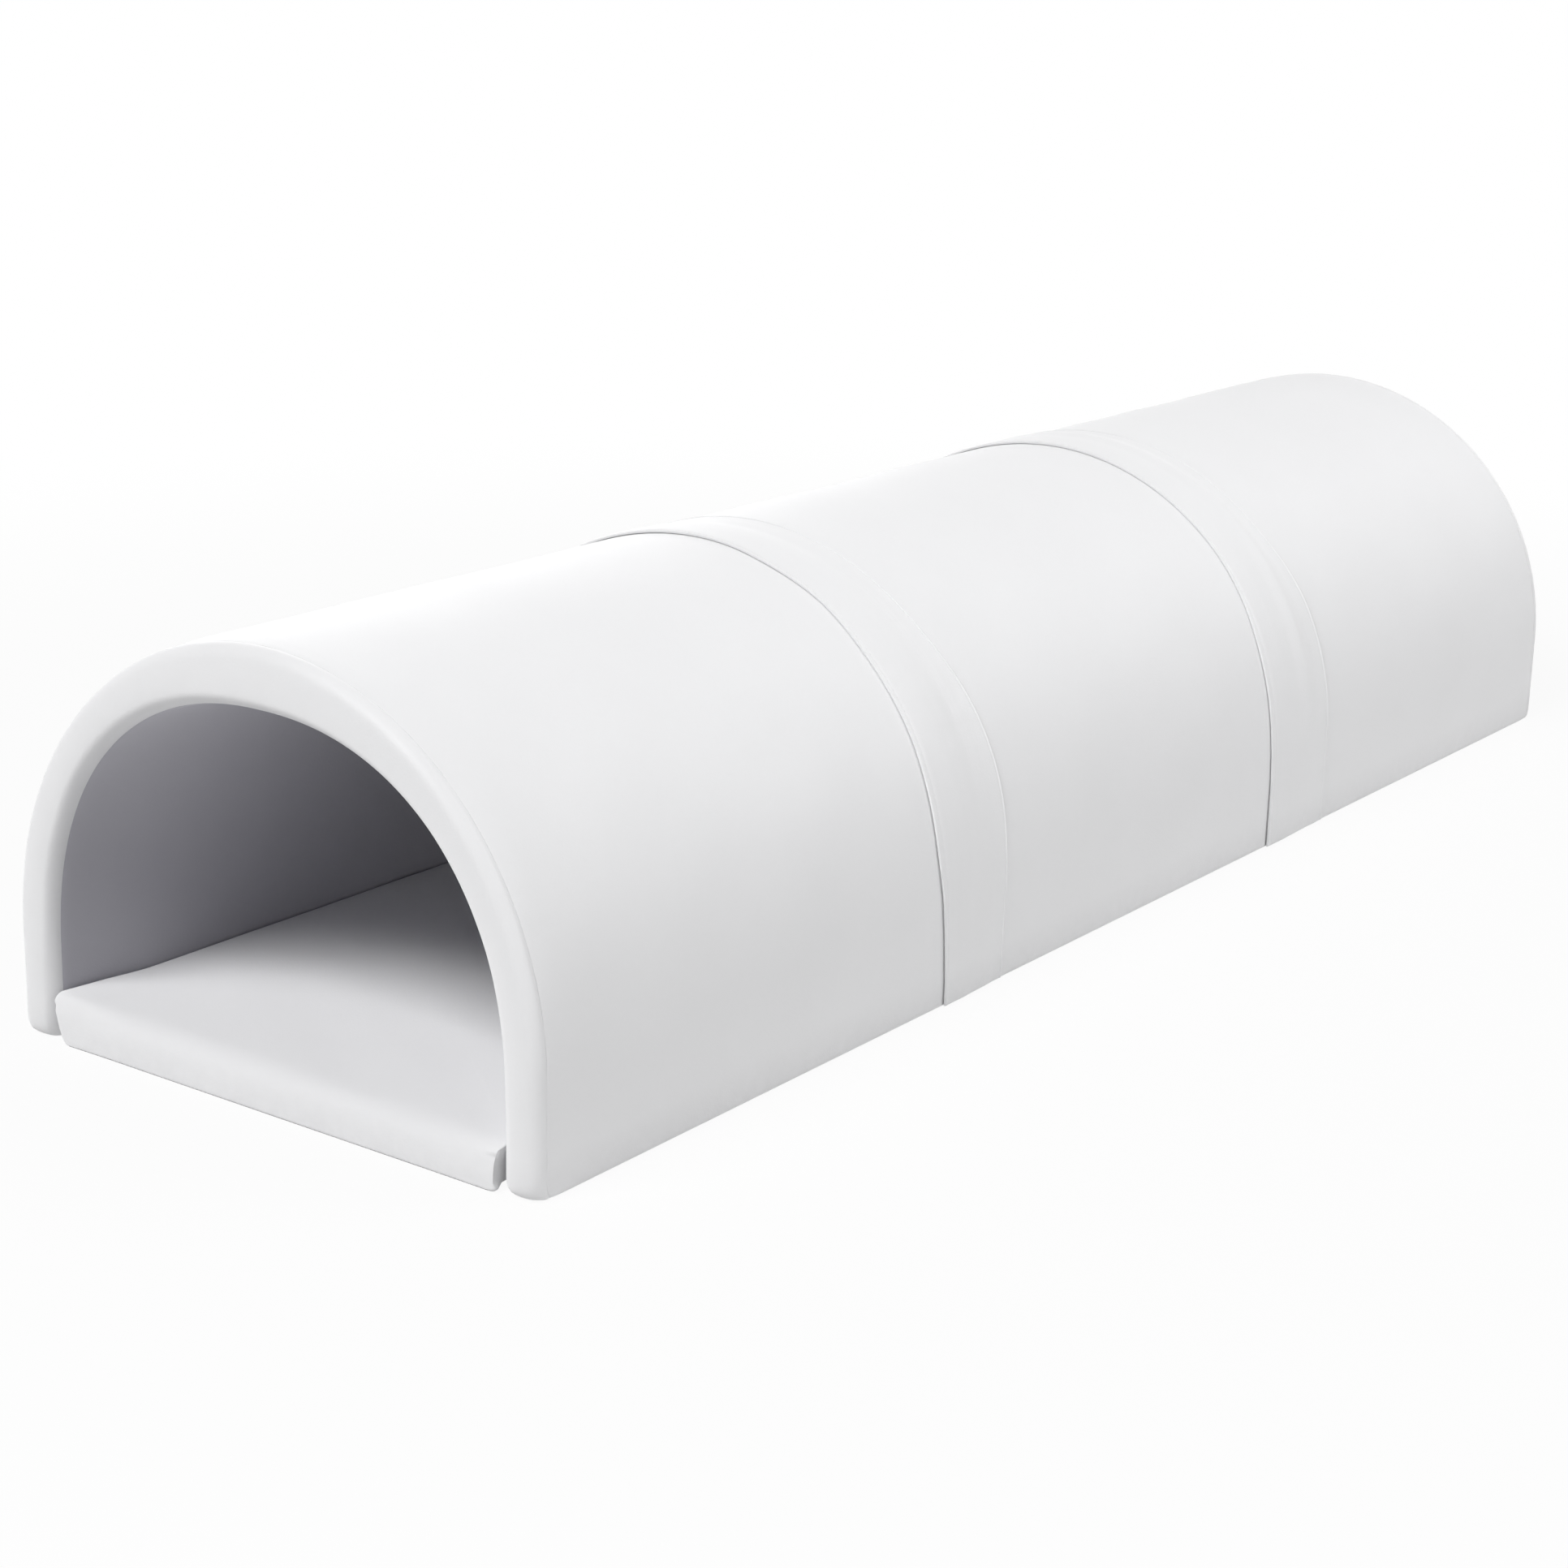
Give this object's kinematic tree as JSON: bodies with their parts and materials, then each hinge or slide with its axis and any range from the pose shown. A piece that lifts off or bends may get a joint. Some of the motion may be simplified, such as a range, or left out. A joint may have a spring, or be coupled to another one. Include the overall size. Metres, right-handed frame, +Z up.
{
  "type": "foam play tunnel",
  "caption": "Soft play crawl tunnel of padded arch modules in white leatherette, joined by hook-and-loop flaps, each arch standing over a loose padded floor mat.",
  "frame": {"origin": "on the floor, midway along and across the tunnel, at the underside of the middle mat", "axes": "+Y along the tunnel from the near mouth to the far mouth, +Z up, +X to the right as seen from the near mouth"},
  "size_m": [0.759, 2.399, 0.5045],
  "materials": {
    "white_leatherette": "satin",
    "inner_leatherette": "satin",
    "mat_leatherette": "satin",
    "foam": "matte",
    "non_slip_cloth": "matte",
    "hook_and_loop_tape": "matte",
    "nylon_zip": "matte",
    "plated_zinc": "satin"
  },
  "bodies": {
    "front_arch": {"front_arch_foam": "foam", "front_outer_skin": "white_leatherette", "front_lining": "inner_leatherette", "front_near_end_panel": "white_leatherette", "front_far_end_panel": "white_leatherette", "front_right_sole": "non_slip_cloth", "front_left_sole": "non_slip_cloth", "front_arch_zip": "nylon_zip", "front_loop_strip": "hook_and_loop_tape"},
    "front_mat": {"front_mat_foam": "foam", "front_mat_cover": "mat_leatherette", "front_mat_base": "non_slip_cloth", "front_mat_zip": "nylon_zip"},
    "front_arch_zip_slider": {"front_arch_zip_slider": "plated_zinc"},
    "front_mat_zip_slider": {"front_mat_zip_slider": "plated_zinc"},
    "middle_arch": {"middle_arch_foam": "foam", "middle_outer_skin": "white_leatherette", "middle_lining": "inner_leatherette", "middle_near_end_panel": "white_leatherette", "middle_far_end_panel": "white_leatherette", "middle_right_sole": "non_slip_cloth", "middle_left_sole": "non_slip_cloth", "middle_arch_zip": "nylon_zip", "middle_loop_strip": "hook_and_loop_tape", "middle_flap": "white_leatherette", "middle_hook_strip": "hook_and_loop_tape"},
    "middle_mat": {"middle_mat_foam": "foam", "middle_mat_cover": "mat_leatherette", "middle_mat_base": "non_slip_cloth", "middle_mat_zip": "nylon_zip"},
    "middle_arch_zip_slider": {"middle_arch_zip_slider": "plated_zinc"},
    "middle_mat_zip_slider": {"middle_mat_zip_slider": "plated_zinc"},
    "rear_arch": {"rear_arch_foam": "foam", "rear_outer_skin": "white_leatherette", "rear_lining": "inner_leatherette", "rear_near_end_panel": "white_leatherette", "rear_far_end_panel": "white_leatherette", "rear_right_sole": "non_slip_cloth", "rear_left_sole": "non_slip_cloth", "rear_arch_zip": "nylon_zip", "rear_flap": "white_leatherette", "rear_hook_strip": "hook_and_loop_tape"},
    "rear_mat": {"rear_mat_foam": "foam", "rear_mat_cover": "mat_leatherette", "rear_mat_base": "non_slip_cloth", "rear_mat_zip": "nylon_zip"},
    "rear_arch_zip_slider": {"rear_arch_zip_slider": "plated_zinc"},
    "rear_mat_zip_slider": {"rear_mat_zip_slider": "plated_zinc"}
  },
  "joints": [
    {"name": "arches_lift", "type": "slide", "parent": "middle_mat", "child": "middle_arch", "axis": [0, 0, 1], "range_m": [0, 0.12]},
    {"name": "front_arch_pull", "type": "slide", "parent": "middle_arch", "child": "front_arch", "axis": [0, -1, 0], "range_m": [0, 0.12]},
    {"name": "rear_arch_pull", "type": "slide", "parent": "middle_arch", "child": "rear_arch", "axis": [0, 1, 0], "range_m": [0, 0.12]},
    {"name": "front_mat_slide", "type": "slide", "parent": "middle_mat", "child": "front_mat", "axis": [0, -1, 0], "range_m": [0, 0.85]},
    {"name": "rear_mat_slide", "type": "slide", "parent": "middle_mat", "child": "rear_mat", "axis": [0, 1, 0], "range_m": [0, 0.85]},
    {"name": "front_arch_unzip", "type": "slide", "parent": "front_arch", "child": "front_arch_zip_slider", "axis": [0, 1, 0], "range_m": [0, 0.67]},
    {"name": "front_mat_unzip", "type": "slide", "parent": "front_mat", "child": "front_mat_zip_slider", "axis": [0, 1, 0], "range_m": [0, 0.67]},
    {"name": "middle_arch_unzip", "type": "slide", "parent": "middle_arch", "child": "middle_arch_zip_slider", "axis": [0, 1, 0], "range_m": [0, 0.67]},
    {"name": "middle_mat_unzip", "type": "slide", "parent": "middle_mat", "child": "middle_mat_zip_slider", "axis": [0, 1, 0], "range_m": [0, 0.67]},
    {"name": "rear_arch_unzip", "type": "slide", "parent": "rear_arch", "child": "rear_arch_zip_slider", "axis": [0, 1, 0], "range_m": [0, 0.67]},
    {"name": "rear_mat_unzip", "type": "slide", "parent": "rear_mat", "child": "rear_mat_zip_slider", "axis": [0, 1, 0], "range_m": [0, 0.67]}
  ]
}
